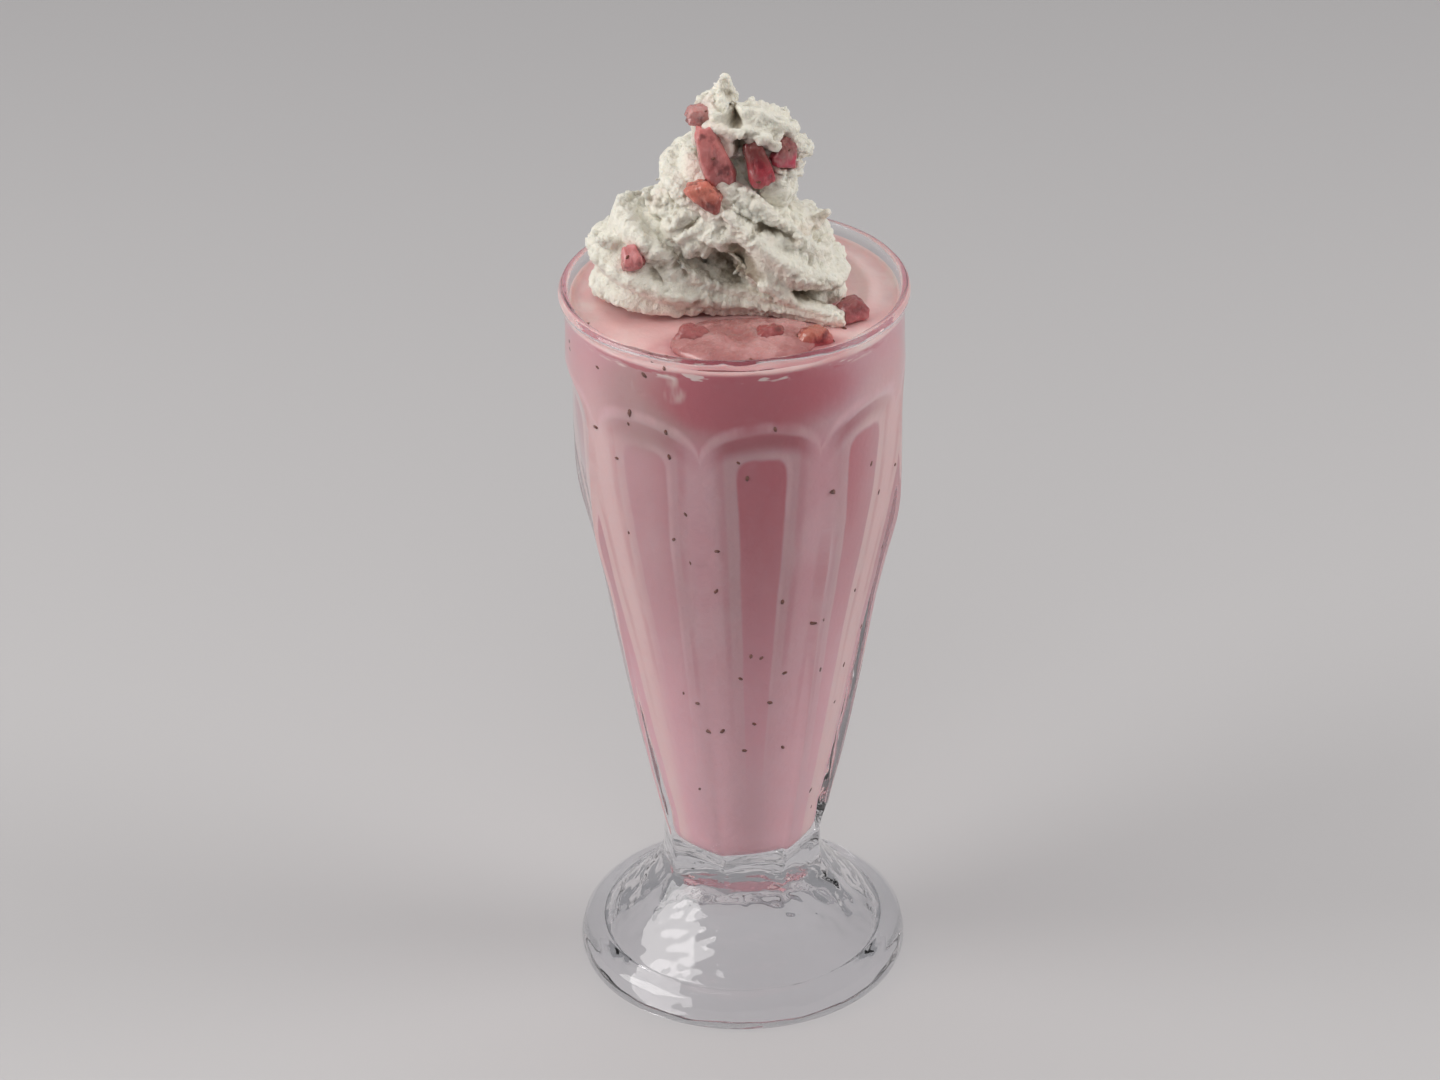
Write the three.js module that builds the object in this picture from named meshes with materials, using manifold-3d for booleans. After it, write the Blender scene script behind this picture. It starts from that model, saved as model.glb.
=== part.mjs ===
// A strawberry milkshake in its footed soda glass, topped with piped whipped cream and diced strawberry.
// Millimetres, +Z up. The origin is on the table, under the middle of the glass's foot.
// A "turn" is an angle round the glass's axis, in degrees from the front (-Y) towards the right (+X).

import * as THREE from "three";
import { mergeVertices } from "three/addons/utils/BufferGeometryUtils.js";
import Module from "manifold-3d";

const wasm = await Module();
wasm.setup();

// Driving dimensions of the glass
const GLASS_HEIGHT = 187;
const RIM_RADIUS = 41.5;
const FOOT_RADIUS = 41;
const NECK_RADIUS = 20.2;
const NECK_HEIGHT = 27.4;
const FOOT_HOLLOW = 24; // height of the hollow under the foot, in the middle
const SEGMENTS = 64;

// The eight hollow panels round the bowl: each is an arch-topped flute between two ridges
const PANELS = 8;
const PANEL_TURN = 9;
const PANEL_DEPTH = 0.095; // of the ridge radius, in the middle of a panel
const PANEL_DEPTH_AT_ARCH = 0.055; // the same, where the panel runs out under its arch
const ARCH_PEAK = 169;
const ARCH_RISE = 10; // from where two arches meet up to an arch's top
const ARCH_BEVEL = 9; // height over which the flute scoops into the wall
const FOOT_SCALLOP = 0.8;

// The drink and what lies on it
const LEVEL = 183.5;
const FLOOR = 35.3; // lowest point of the glass's inside
const GAP = 0.3; // kept between pieces that touch
const CREAM_FOOT = LEVEL + GAP;
const CREAM_PEAK = 240;

const radians = THREE.MathUtils.degToRad;
const smooth = (x, low, high) => THREE.MathUtils.smoothstep(x, low, high);

// The point at a turn, a distance from the axis and a height
function around(turn, radius, height) {
  const a = radians(turn);
  return new THREE.Vector3(radius * Math.sin(a), -radius * Math.cos(a), height);
}

// Where a turn falls across its panel: 0 in the middle, 1 on a ridge
function acrossPanel(turn) {
  const pitch = 360 / PANELS;
  const offset = (turn - PANEL_TURN) / pitch;
  return Math.abs(2 * (offset - Math.round(offset)));
}

// Solids from three.js geometry, and back
function solidOf(geometry) {
  const bare = geometry.clone();
  for (const name of Object.keys(bare.attributes)) {
    if (name !== "position") bare.deleteAttribute(name);
  }
  const merged = mergeVertices(bare, 1e-4);
  return new wasm.Manifold(
    new wasm.Mesh({
      numProp: 3,
      vertProperties: merged.attributes.position.array,
      triVerts: new Uint32Array(merged.index.array),
    }),
  );
}

function geometryOf(solid) {
  const mesh = solid.getMesh();
  const geometry = new THREE.BufferGeometry();
  geometry.setAttribute("position", new THREE.BufferAttribute(mesh.vertProperties, 3));
  geometry.setIndex(new THREE.BufferAttribute(mesh.triVerts, 1));
  geometry.computeVertexNormals();
  return geometry;
}

// The largest body of a solid that cutting has left in several
function largest(solid) {
  return solid.decompose().reduce((a, b) => (a.volume() > b.volume() ? a : b));
}

// A profile of [radius, height] points turned round the Z axis; shape(turn, point) may move each point
function turned(profile, segments, shape) {
  const points = profile.map(([r, z]) => new THREE.Vector2(r, z));
  const geometry = new THREE.LatheGeometry(points, segments);
  const position = geometry.attributes.position;
  for (let i = 0; i < position.count; i++) {
    const step = Math.floor(i / points.length) % segments;
    const turn = PANEL_TURN + (360 * step) / segments;
    const { x, y } = points[i % points.length];
    const [r, z] = shape ? shape(turn, x, y, i % points.length) : [x, y];
    position.setXYZ(i, ...around(turn, r, z));
  }
  return geometry;
}

// Foot

// Half profile of the foot: its hollow underside from the middle out, its rolled edge from the flat ring
// it stands on, and its sloping top up to the neck
const FOOT_UNDERSIDE = [
  [0, FOOT_HOLLOW],
  [7, 23],
  [12, 20.4],
  [18, 15.2],
  [26, 8],
  [33, 1.8],
];
const FOOT_EDGE = [
  [34.5, 0],
  [39.2, 0],
  [40.7, 0.9],
  [FOOT_RADIUS, 2.8],
  [40.4, 6.2],
  [37.8, 8.7],
];
const FOOT_TOP = [
  [34.4, 9.4],
  [31, 13],
  [26.4, 18.2],
  [22.6, 23.2],
];

// Bowl

// Ridge radius of the bowl at each height
const BOWL_OUTSIDE = [
  [NECK_RADIUS, NECK_HEIGHT],
  [NECK_RADIUS, 34],
  [21, 40],
  [24, 52],
  [30, 81],
  [33.8, 103],
  [36.9, 119],
  [39, 132],
  [40, 142],
];
const ARCH_ROWS = 7;
const ARCH_FOOT = 146;
const ARCH_TOP = 172;
const ARCH_RADIUS = 40.3;

const RIM_PROFILE = [
  [40.2, 179],
  [40.6, 182.5],
  [RIM_RADIUS, 185],
  [41.3, 186.3],
  [40.2, GLASS_HEIGHT],
  [39.1, 186.2],
  [38.8, 184.5],
];

// The smooth inside of the bowl, from the rim down to the floor
const INSIDE = [
  [38.2, 174],
  [36.4, 162],
  [34.6, 150],
  [29.6, 122],
  [23.2, 92],
  [17.2, 62],
  [13.6, 44],
  [12.6, 38.4],
  [10.4, 35.8],
  [0, FLOOR],
];

function archRows() {
  const rows = [];
  for (let i = 0; i <= ARCH_ROWS; i++) {
    rows.push([ARCH_RADIUS, THREE.MathUtils.lerp(ARCH_FOOT, ARCH_TOP, i / ARCH_ROWS)]);
  }
  return rows;
}

// Moves a point of the glass's outside into its panel. Rows near the arches bend with them.
function hollowed(turn, radius, height) {
  const across = acrossPanel(turn);
  const dome = Math.sqrt(Math.max(0, 1 - across * across));
  const hollow = 1 - across * across;
  if (height < NECK_HEIGHT) {
    const scallop = FOOT_SCALLOP * hollow * smooth(height, 9.4, 16);
    return [radius - scallop, height];
  }
  const bend = smooth(height, 110, ARCH_FOOT) * (1 - smooth(height, ARCH_TOP - 4, 181));
  const z = height + ARCH_RISE * (dome - 1) * bend;
  const top = ARCH_PEAK + ARCH_RISE * (dome - 1);
  const scoop = smooth((top - z) / ARCH_BEVEL, 0, 1);
  const growing = THREE.MathUtils.lerp(FOOT_SCALLOP / radius, PANEL_DEPTH, smooth(height, NECK_HEIGHT, 50));
  const depth = THREE.MathUtils.lerp(growing, PANEL_DEPTH_AT_ARCH, smooth(height, 115, 160));
  return [radius * (1 - depth * hollow * scoop), z];
}

function glass() {
  const lowest = [...FOOT_UNDERSIDE, ...FOOT_EDGE];
  const outside = [...lowest, ...FOOT_TOP, ...BOWL_OUTSIDE, ...archRows()];
  const profile = [...outside, ...RIM_PROFILE, ...INSIDE];
  const fluted = (turn, r, z, index) => {
    const hasPanels = index >= lowest.length && index < outside.length;
    return hasPanels ? hollowed(turn, r, z) : [r, z];
  };
  return solidOf(turned(profile, SEGMENTS, fluted));
}

// Drink: the glass's inside, less a gap, up to the level with a low rise at the wall
const MENISCUS = 0.6;

function milkshake() {
  const wall = INSIDE.filter(([r, z]) => r > 0 && z < LEVEL).map(([r, z]) => [r - GAP, z + GAP]);
  const profile = [
    [0, FLOOR + GAP],
    ...wall.reverse(),
    [38.7 - GAP, LEVEL + MENISCUS],
    [36.6, LEVEL],
    [0, LEVEL],
  ];
  return solidOf(turned(profile, SEGMENTS));
}

// Whipped cream: one ridged rope, laid from a thin tail at the right of the front, clockwise round the
// glass, and up to the peak. Each station is [x, y, z of the rope's middle, rope radius].
const ROPE = [
  [25.5, -17, 185.4, 1.4],
  [18, -14, 186.3, 2.4],
  [8, -11.5, 187, 3.3],
  [-4, -11.5, 188.2, 4.8],
  [-15, -9.5, 191.6, 8.8],
  [-23, -3.5, 195.6, 12],
  [-21, 9, 192, 11.6],
  [-8, 20, 189.4, 10.8],
  [8, 19, 188.6, 10],
  [14, 9, 190, 9.6],
  [15.8, -4.5, 191, 8.8],
  [9.6, -8.5, 198, 8.4],
  [3, -8, 206, 7.8],
  [-7, -4, 211, 8.2],
  [-8, 4.5, 213, 7.8],
  [-1, 8.5, 215, 7.6],
  [7, 5, 217.5, 7.6],
  [9.2, -1, 222, 7.4],
  [5, -2.8, 227, 5.8],
  [-3, -3, 227.6, 5.6],
  [-3.6, 0.6, 231.4, 4.4],
  [-1.6, 0.6, 235.6, 2.4],
  [-1.7, 0, CREAM_PEAK, 0.5],
];
const ROPE_STEPS = 77;
const ROPE_SIDES = 15;
const ROPE_RIDGES = 5;
const RIDGE_DEPTH = 0.13;
const RIDGE_TWIST = 3.4; // turns of the ridges round the rope along its length

// The rope as a closed tube whose ridged section turns slowly along it
function rope(grow) {
  const middle = new THREE.CatmullRomCurve3(ROPE.map(([x, y, z]) => new THREE.Vector3(x, y, z)));
  const vertices = [];
  const faces = [];
  for (let i = 0; i <= ROPE_STEPS; i++) {
    const share = i / ROPE_STEPS;
    const place = share * (ROPE.length - 1);
    const from = Math.min(Math.floor(place), ROPE.length - 2);
    const radius = THREE.MathUtils.lerp(ROPE[from][3], ROPE[from + 1][3], place - from);
    const centre = middle.getPoint(share);
    const along = middle.getTangent(share);
    const side = new THREE.Vector3().crossVectors(along, new THREE.Vector3(0, 0, 1)).normalize();
    const up = new THREE.Vector3().crossVectors(along, side);
    for (let j = 0; j < ROPE_SIDES; j++) {
      const a = (2 * Math.PI * j) / ROPE_SIDES;
      const ridge = Math.cos(ROPE_RIDGES * a + 2 * Math.PI * RIDGE_TWIST * share);
      const r = radius * (1 + RIDGE_DEPTH * ridge) + grow;
      const point = centre.clone();
      point.addScaledVector(side, r * Math.cos(a)).addScaledVector(up, r * Math.sin(a));
      vertices.push(...point.toArray());
    }
  }
  const ring = (i, j) => i * ROPE_SIDES + (j % ROPE_SIDES);
  for (let i = 0; i < ROPE_STEPS; i++) {
    for (let j = 0; j < ROPE_SIDES; j++) {
      faces.push(ring(i, j), ring(i, j + 1), ring(i + 1, j + 1));
      faces.push(ring(i, j), ring(i + 1, j + 1), ring(i + 1, j));
    }
  }
  for (let j = 1; j < ROPE_SIDES - 1; j++) {
    faces.push(ring(0, 0), ring(0, j + 1), ring(0, j));
    faces.push(ring(ROPE_STEPS, 0), ring(ROPE_STEPS, j), ring(ROPE_STEPS, j + 1));
  }
  const geometry = new THREE.BufferGeometry();
  geometry.setAttribute("position", new THREE.Float32BufferAttribute(vertices, 3));
  geometry.setIndex(faces);
  return solidOf(geometry);
}

// The mound that fills the inside of the coil
const CORE_AT = [0.5, 5.5];
const CORE = [
  [0, CREAM_FOOT - 6],
  [14.5, CREAM_FOOT - 6],
  [13, 193],
  [11.6, 203],
  [9.6, 212],
  [6, 221],
  [0, 226],
];
const CORE_SEGMENTS = 20;

function cream(grow) {
  const swollen = CORE.map(([r, z], i) => [r && r + grow, i === CORE.length - 1 ? z + grow : z]);
  const core = solidOf(turned(swollen, CORE_SEGMENTS).translate(...CORE_AT, 0));
  const below = solidOf(new THREE.BoxGeometry(200, 200, 40).translate(0, 0, CREAM_FOOT - 20 - grow));
  return rope(grow).add(core).subtract(below);
}

// Diced strawberry: rounded, tapering chunks. Each is [name, centre, half sizes, turns about X, Y and Z
// in degrees, seed of its uneven faces].
const DICE = [
  ["strawberry_1", [-8.1, -2.2, 232.3], [2.8, 2.4, 1.8], [8, 0, 10], 11],
  ["strawberry_2", [-4.6, -7.4, 223.2], [2.7, 2.7, 6.7], [-8, -17, 6], 12],
  ["strawberry_3", [-6.2, -11.9, 215.2], [3.7, 2.5, 2.2], [0, 38, -8], 13],
  ["strawberry_4", [5.2, -7.9, 221.6], [2.3, 2.4, 4.9], [-14, -12, 14], 14],
  ["strawberry_5", [11.8, -5.9, 223], [2.4, 2.3, 2.7], [10, 20, 30], 15],
  ["strawberry_6", [-23.6, -13.6, 200.6], [2.1, 2, 2.5], [-25, -12, 0], 16],
  ["strawberry_7", [27, -13.4, 186.1], [3, 2.5, 2.3], [0, -14, 30], 17],
  ["strawberry_8", [-9.8, -23.4, 185.3], [3.1, 2.8, 1.9], [6, 12, -20], 18],
  ["strawberry_9", [8, -23.6, 185.4], [3, 2.4, 1.9], [0, -8, 12], 19],
  ["strawberry_10", [18, -24.6, 185.2], [3.4, 2.3, 1.9], [4, 6, 28], 20],
  ["strawberry_11", [-6, 27.8, 195.2], [3.4, 2.8, 2.6], [20, 10, 25], 21],
  ["strawberry_12", [6, 14.2, 216.4], [3.8, 2.8, 2.8], [15, -30, -35], 22],
];

// A small repeatable random number generator, from 0 to 1
function randomFrom(seed) {
  return () => THREE.MathUtils.seededRandom((seed += 1));
}

function dice([, centre, half, tilt, seed], grow) {
  const random = randomFrom(seed * 1000);
  const ball = new THREE.IcosahedronGeometry(1, 1).deleteAttribute("normal").deleteAttribute("uv");
  const geometry = mergeVertices(ball);
  const position = geometry.attributes.position;
  const turn = new THREE.Euler(...tilt.map(radians));
  const point = new THREE.Vector3();
  for (let i = 0; i < position.count; i++) {
    point.fromBufferAttribute(position, i);
    const boxed = (Math.abs(point.x) ** 4 + Math.abs(point.y) ** 4 + Math.abs(point.z) ** 4) ** -0.25;
    const taper = 1 - 0.18 * point.z * boxed;
    point.multiplyScalar(boxed * (0.9 + 0.2 * random()));
    point.x *= half[0] * taper + grow;
    point.y *= half[1] * taper + grow;
    point.z *= half[2] + grow;
    point.applyEuler(turn);
    position.setXYZ(i, point.x + centre[0], point.y + centre[1], point.z + centre[2]);
  }
  return solidOf(geometry);
}

// Strawberry puree: a low crescent pool on the drink, in front of the cream, with rounded edges
const PUREE_TURNS = [-20, 36];
const PUREE_RADII = [19, 33.5];
const PUREE_ROUND = 2; // how far the rounded edge stands out past the crescent
const PUREE_DEPTH = 2.3;

function puree() {
  const [from, to] = PUREE_TURNS.map((turn) => radians(turn - 90));
  const middle = (PUREE_RADII[0] + PUREE_RADII[1]) / 2;
  const ends = [from, to].map((at) => [middle * Math.cos(at), middle * Math.sin(at)]);
  const width = (PUREE_RADII[1] - PUREE_RADII[0]) / 2;
  const outline = new THREE.Shape();
  outline.absarc(0, 0, PUREE_RADII[1], from, to, false);
  outline.absarc(...ends[1], width, to, to + Math.PI, false);
  outline.absarc(0, 0, PUREE_RADII[0], to, from, true);
  outline.absarc(...ends[0], width, from + Math.PI, from + 2 * Math.PI, false);
  const geometry = new THREE.ExtrudeGeometry(outline, {
    depth: PUREE_DEPTH - 2,
    bevelThickness: 1,
    bevelSize: PUREE_ROUND,
    bevelSegments: 3,
    curveSegments: 8,
  });
  return solidOf(geometry.translate(0, 0, LEVEL + GAP + 1));
}

const parts = new THREE.Group();

function place(name, solid, colour, roughness, extra = {}) {
  const material = new THREE.MeshStandardMaterial({ color: colour, roughness, metalness: 0, ...extra });
  const mesh = new THREE.Mesh(geometryOf(solid), material);
  mesh.name = name;
  parts.add(mesh);
}

let fruitSpace = dice(DICE[0], GAP);
for (const piece of DICE.slice(1)) fruitSpace = fruitSpace.add(dice(piece, GAP));

// The two pieces of fruit beside the tail lie half sunk in the drink, so it is cut for them
place("glass", glass(), 0xe6eaec, 0.05, { transparent: true, opacity: 0.35 });
place("milkshake", milkshake().subtract(fruitSpace), 0xd9a2a5, 0.5);
place("whipped_cream", largest(cream(0).subtract(fruitSpace)), 0xf1ede2, 0.6);
place("strawberry_puree", largest(puree().subtract(cream(GAP)).subtract(fruitSpace)), 0xc4616b, 0.35);
for (const piece of DICE) place(piece[0], dice(piece, 0), 0xc23a45, 0.4);

export default parts;
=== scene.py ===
import math
import random

import bmesh
import bpy
from mathutils import Euler, Matrix, Vector, noise
from mathutils.geometry import intersect_point_line


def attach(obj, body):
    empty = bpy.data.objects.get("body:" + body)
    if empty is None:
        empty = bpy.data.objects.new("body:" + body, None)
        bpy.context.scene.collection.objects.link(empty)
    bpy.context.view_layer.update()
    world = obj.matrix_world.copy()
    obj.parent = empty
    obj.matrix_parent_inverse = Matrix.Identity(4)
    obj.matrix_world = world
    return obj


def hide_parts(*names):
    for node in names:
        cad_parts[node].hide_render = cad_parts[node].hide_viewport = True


bl_info = {
    "name": "Strawberry Milkshake",
    "version": (1, 0, 0),
    "blender": (4, 5, 0),
    "location": "View3D > Sidebar > Milkshake",
    "description": "A strawberry milkshake in a soda glass, with whipped cream and diced fruit",
    "category": "Add Mesh",
}

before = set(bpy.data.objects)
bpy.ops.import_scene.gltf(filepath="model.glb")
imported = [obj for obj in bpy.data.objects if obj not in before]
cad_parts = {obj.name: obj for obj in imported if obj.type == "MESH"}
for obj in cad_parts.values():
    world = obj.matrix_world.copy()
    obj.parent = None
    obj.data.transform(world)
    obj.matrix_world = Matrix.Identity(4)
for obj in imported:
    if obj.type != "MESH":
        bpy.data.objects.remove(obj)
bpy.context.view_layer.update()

MM = 0.001
BODY = "root"

# Half profile of the foot, from the middle of its hollow underside to the neck: radius, height in mm
FOOT = [
    (0, 24),
    (5, 23.4),
    (10, 21.6),
    (14, 18.8),
    (18, 15.2),
    (22, 11.6),
    (26, 8),
    (30, 4.6),
    (33, 1.8),
    (34.1, 0.4),
    (34.8, 0),
    (36.6, 0),
    (39.4, 0),
    (40.6, 0.7),
    (41, 2.4),
    (40.9, 4.6),
    (40, 7),
    (38, 8.5),
    (36.2, 8.9),
    (35.2, 8.8),
    (34.4, 9.4),
    (32.4, 11.6),
    (29.5, 14.8),
    (26.4, 18.2),
    (23.4, 22),
    (21.2, 25.4),
    (20.3, 27.4),
]
# Ridge radius of the bowl at each height, above the neck, in mm
BOWL = [
    (20.1, 29.4),
    (20.1, 33),
    (20.4, 37.5),
    (22.2, 44),
    (24, 52),
    (26.3, 62),
    (30, 81),
    (33.8, 103),
    (36.9, 119),
    (39, 132),
    (40.05, 142),
    (40.3, 150),
    (40.4, 156),
    (40.4, 162),
    (40.4, 168),
    (40.3, 172),
    (40.2, 176),
]
RIM = [
    (40.2, 180),
    (40.6, 182.8),
    (41.3, 184.6),
    (41.45, 185.8),
    (40.9, 186.8),
    (40.2, 187),
    (39.4, 186.7),
    (38.9, 185.6),
]
# The smooth inside of the bowl, from the rim down to the floor, in mm
INSIDE = [
    (38.7, 183.5),
    (38.2, 174),
    (36.4, 162),
    (34.6, 150),
    (32.2, 136),
    (29.6, 122),
    (23.2, 92),
    (17.2, 62),
    (13.6, 44),
    (12.9, 39.4),
    (12, 36.8),
    (10, 35.6),
    (6, 35.3),
    (0, 35.3),
]
# Heights and depths of the hollow panels, in mm, but for two depths that are shares of the ridge radius
FLANGE_TOP = 9.6  # where the panels start
FOOT_TOP = 29  # where they begin to deepen
PANELS_END = 181.5
DEPTH_ON_FOOT = 0.8
PANEL_DEPTH = 0.095  # a share
ARCH_DEPTH = 0.055  # a share, where a panel ends under its arch
BEVEL = 9  # the height over which a panel scoops into the wall

# The drink: how far it reaches into the wall, and how it creeps up the wall (radius, rise) in mm
INTO_WALL = 0.2
CREEP = [(38.8, 0.9), (38.2, 0.35), (37.4, 0.05)]

# Middle of the cream's rope from its thin tail to the peak, and its radius: x, y, z, radius in mm
ROPE = [
    (25.5, -17, 185.4, 1.4),
    (18, -14, 186.3, 2.4),
    (7.5, -9.6, 187, 3.3),
    (-5, -8, 188.4, 4.8),
    (-15.5, -7.8, 191.6, 8),
    (-21, -3.5, 195.4, 11.6),
    (-19.5, 9, 192, 11.4),
    (-8, 20, 189.4, 10.8),
    (8, 19, 188.6, 10),
    (14, 9, 190, 9.6),
    (15.8, -4.5, 191, 8.8),
    (9.6, -8.5, 198, 8.4),
    (3, -8, 206, 7.8),
    (-7, -4, 211, 8.2),
    (-8, 4.5, 213, 7.8),
    (-1, 8.5, 215, 7.6),
    (7, 5, 217.5, 7.6),
    (9.2, -1, 222, 7.4),
    (5, -2.8, 227, 5.8),
    (-3, -3, 227.6, 5.6),
    (-3.6, 0.6, 231.4, 4.4),
    (-1.6, 0.6, 235.6, 2.4),
    (-1.7, 0, 240, 0.5),
]
# The mound inside the coil: radius, height in mm, about CORE_AT
CORE_AT = (0.5, 5.5)
CORE = [(0, 179), (14.5, 179), (13, 193), (11.6, 203), (9.6, 212), (6, 221), (0, 226)]

# Lumps that fill the coil's gaps: x, y, z, radius in mm
LUMPS = [
    (-12, -8.5, 206, 4.6),
    (-8.5, -9.5, 201.5, 3.6),
    (-14.5, -7, 201, 4),
    (13, -2, 202.5, 5.6),
    (17, 2.5, 199.5, 5),
    (-14, 2, 207, 5.5),
    (10, -4.5, 214, 5),
    (-15.5, -5, 210, 3.4),
    (22, -5.6, 187.6, 4),
]
# Torn tips: foot, point, and radius at the foot in mm
TIPS = [
    ((-16.5, -3, 206), (-20.8, -3.6, 212.4), 2.2),
    ((12, -5, 217.5), (17, -5.6, 220.4), 1.8),
    ((8, 0, 226), (12.5, 1, 231), 2),
    ((18, -2, 203), (22, -2.5, 206), 2),
    ((-27, -8, 201), (-31.5, -10, 203.5), 2.2),
    ((-2, -2, 234), (-2.6, -1.8, 239.6), 1.5),
    ((3, 4, 226), (5, 9, 230), 2),
]
# Deep clefts in the cream: two ends, width and depth in mm
CLEFTS = [
    ((0.2, -5, 234.2), (1.7, -7.4, 227), 1.3, 5),
    ((1.7, -7.4, 227), (2.4, -9.6, 218.5), 1.5, 5.5),
    ((-4.5, -9, 199), (0, -9, 193), 2.6, 4),
    ((0, -15.6, 201.5), (3.6, -16.6, 196), 2.6, 6),
    ((9, -13, 191.5), (28, -14.5, 188), 1.6, 4.5),
    ((6, -14.4, 208), (14.5, -14.6, 205), 1.2, 3),
    ((-14, -12.8, 205.6), (-8, -11.8, 209.4), 1, 2.4),
    ((-3.5, -13, 212), (5, -15, 209), 0.9, 2),
    ((-24, -14, 204), (-17, -15, 193), 1, 1.8),
    ((-18, -13, 205), (-11, -14, 194), 1, 2),
    ((12.4, -5, 226), (12, -6.5, 219), 0.9, 2),
    ((-9, -12, 200), (-7, -10.5, 193), 1.2, 3),
]
# Places where the cream stayed smooth: x, y, z, radius in mm
SMOOTH = [(8, -16, 200, 6), (-23, -13, 193, 8), (2, -12, 189, 5), (16, -15, 187, 6), (10, -13, 193, 5)]

# Diced fruit, strawberry_1 first: centre and half sizes in mm, turns about X, Y and Z in degrees, colours
# at its top and at its bottom
DICE = [
    ((-7.2, -2.9, 231.7), (2.8, 2.4, 1.8), (8, 0, 10), (0.55, 0.27, 0.25), (0.46, 0.2, 0.19)),
    ((-4.6, -7.4, 223.2), (2.7, 2.7, 6.7), (-8, -17, 6), (0.58, 0.2, 0.19), (0.4, 0.12, 0.12)),
    ((-6.2, -11.9, 215.2), (3.7, 2.5, 2.2), (0, 38, -8), (0.58, 0.19, 0.14), (0.32, 0.085, 0.075)),
    ((5.6, -7.9, 221.6), (2.3, 2.4, 4.9), (-14, -12, 14), (0.2, 0.055, 0.05), (0.42, 0.05, 0.07)),
    ((11.8, -5.9, 223), (2.4, 2.3, 2.7), (10, 20, 30), (0.3, 0.12, 0.11), (0.46, 0.06, 0.1)),
    ((-23.6, -13.6, 200.6), (2.1, 2, 2.5), (-25, -12, 0), (0.6, 0.22, 0.22), (0.5, 0.17, 0.17)),
    ((27, -13.4, 186.1), (3, 2.5, 2.3), (0, -14, 30), (0.3, 0.09, 0.09), (0.45, 0.13, 0.14)),
    ((-9.8, -23.4, 185), (3.1, 2.8, 1.9), (6, 12, -20), (0.36, 0.11, 0.11), (0.4, 0.15, 0.14)),
    ((8, -23.6, 185), (3, 2.4, 1.9), (0, -8, 12), (0.34, 0.085, 0.085), (0.4, 0.14, 0.13)),
    ((18, -24.6, 185.1), (3.4, 2.3, 1.9), (4, 6, 28), (0.46, 0.15, 0.11), (0.4, 0.07, 0.08)),
    ((-6, 27.8, 195.2), (3.4, 2.8, 2.6), (20, 10, 25), (0.5, 0.14, 0.14), (0.36, 0.07, 0.07)),
    ((6, 14.2, 216.4), (3.8, 2.8, 2.8), (15, -30, -35), (0.52, 0.18, 0.17), (0.38, 0.08, 0.08)),
]
# The pool of puree: turn of its middle and half its spread in degrees, then radius of its middle, half its
# width, thickness and how far it is sunk into the drink, in mm
PUREE_TURN, PUREE_SPREAD = 5, 37
PUREE_RADIUS, PUREE_HALF_WIDTH = 25, 11.2
PUREE_THICKNESS, PUREE_SUNK = 2.9, 0.35

# Colours in the milkshake beside its own: grey pink behind the panels, a painted reflection; light pink
# low down; brown and red where fruit has gathered; painted light at the sides; a painted highlight under
# the lip;
# froth under the lip, with painted highlight; and froth on top
GREY_PINK = (0.5, 0.3, 0.31)
LIGHT_PINK = (0.84, 0.5, 0.55)
CLEAR_PINK = (0.78, 0.33, 0.4)
DULL_PINK = (0.6, 0.4, 0.43)
FRUIT_RED = (0.42, 0.17, 0.16)
FRUIT_BROWN = (0.42, 0.29, 0.26)
PAINTED_SIDE_LIGHT = (0.8, 0.6, 0.56)
SMEARED_HIGHLIGHT = (0.8, 0.68, 0.62)
LIP_FROTH_AND_HIGHLIGHT = (0.82, 0.72, 0.68)
TOP_FROTH = (0.82, 0.7, 0.66)
# Colours in the cream beside its own
BLUSH = (0.78, 0.48, 0.44)
HOLLOW_SHADE = (0.4, 0.345, 0.265)

# Soft lamps: name, place, aim, width and height in metres, watts, and if polished faces show them
LAMPS = [
    ("left_softbox", (-1.05, -0.25, 0.75), (0, 0, 0.12), (0.75, 1.1), 11.5, True),
    ("right_softbox", (1.05, -0.1, 0.65), (0, 0, 0.12), (0.55, 1.1), 8.5, False),
    ("front_softbox", (-0.1, -1.1, 1.4), (0, 0, 0.12), (1.0, 0.6), 4, False),
    ("overhead_softbox", (-0.2, 0.4, 1.5), (0, 0, 0.1), (1.4, 1.4), 4, False),
]
LAMP_COLOUR = (1, 0.98, 0.955)
# The grey room, towards the camera and behind the glass
ROOM_FRONT, ROOM_BACK = (0.1, 0.1, 0.103), (0.27, 0.27, 0.28)
# The point that the camera looks at, in metres
AIM = (-0.0043, 0, 0.1172)


class GlassSettings(bpy.types.PropertyGroup):
    panels: bpy.props.IntProperty(
        name="Panels", description="Hollow panels round the bowl", default=8, min=3
    )
    panel_turn: bpy.props.FloatProperty(
        name="Panel turn",
        description="Turn of the first panel's middle",
        default=math.radians(9),
        subtype="ANGLE",
    )
    arch_peak: bpy.props.FloatProperty(
        name="Arch peak",
        description="Height of the top of each panel's arch",
        default=0.169,
        unit="LENGTH",
    )
    arch_rise: bpy.props.FloatProperty(
        name="Arch rise",
        description="From where two arches meet up to their tops",
        default=0.010,
        unit="LENGTH",
    )
    waviness: bpy.props.FloatProperty(
        name="Waviness",
        description="How far the moulded faces stray from true",
        default=0.0002,
        unit="LENGTH",
    )
    tint: bpy.props.FloatVectorProperty(
        name="Tint", description="Colour of the glass", default=(0.93, 0.918, 0.935), subtype="COLOR"
    )


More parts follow.
